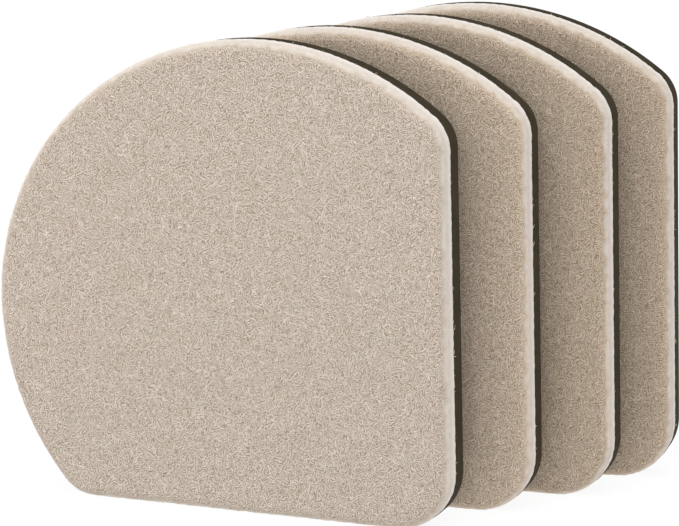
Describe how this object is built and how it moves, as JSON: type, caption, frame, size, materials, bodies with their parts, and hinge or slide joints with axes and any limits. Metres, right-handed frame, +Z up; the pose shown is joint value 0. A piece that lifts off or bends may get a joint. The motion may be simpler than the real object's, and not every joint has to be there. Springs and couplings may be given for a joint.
{
  "type": "furniture slider set",
  "caption": "Loose felt-soled furniture sliders standing on edge in a staggered row; each is beige felt bonded to a dark foam grip pad, with a round lobe and a square corner.",
  "frame": {"origin": "on the floor, under the middle of the row's box", "axes": "+Z up; the felt face of the front slider looks to -Y; the square corners point to +X"},
  "size_m": [0.166, 0.0718, 0.127],
  "materials": {
    "felt": "needled beige felt with short curled fibres and a denser rolled edge",
    "adhesive": "thin film of dried contact adhesive",
    "foam": "matt dark brown-black closed-cell foam rubber, edge die cut"
  },
  "bodies": {
    "slider_1": {"slider_1_felt_sole": "felt", "slider_1_bond_film": "adhesive", "slider_1_grip_pad": "foam"},
    "slider_2": {"slider_2_felt_sole": "felt", "slider_2_bond_film": "adhesive", "slider_2_grip_pad": "foam"},
    "slider_3": {"slider_3_felt_sole": "felt", "slider_3_bond_film": "adhesive", "slider_3_grip_pad": "foam"},
    "slider_4": {"slider_4_felt_sole": "felt", "slider_4_bond_film": "adhesive", "slider_4_grip_pad": "foam"}
  },
  "joints": [
    {"name": "slider_2_lift", "type": "slide", "parent": "slider_1", "child": "slider_2", "axis": [0, 0, 1], "range_m": [0, 0.15]},
    {"name": "slider_3_lift", "type": "slide", "parent": "slider_1", "child": "slider_3", "axis": [0, 0, 1], "range_m": [0, 0.15]},
    {"name": "slider_4_lift", "type": "slide", "parent": "slider_1", "child": "slider_4", "axis": [0, 0, 1], "range_m": [0, 0.15]}
  ]
}
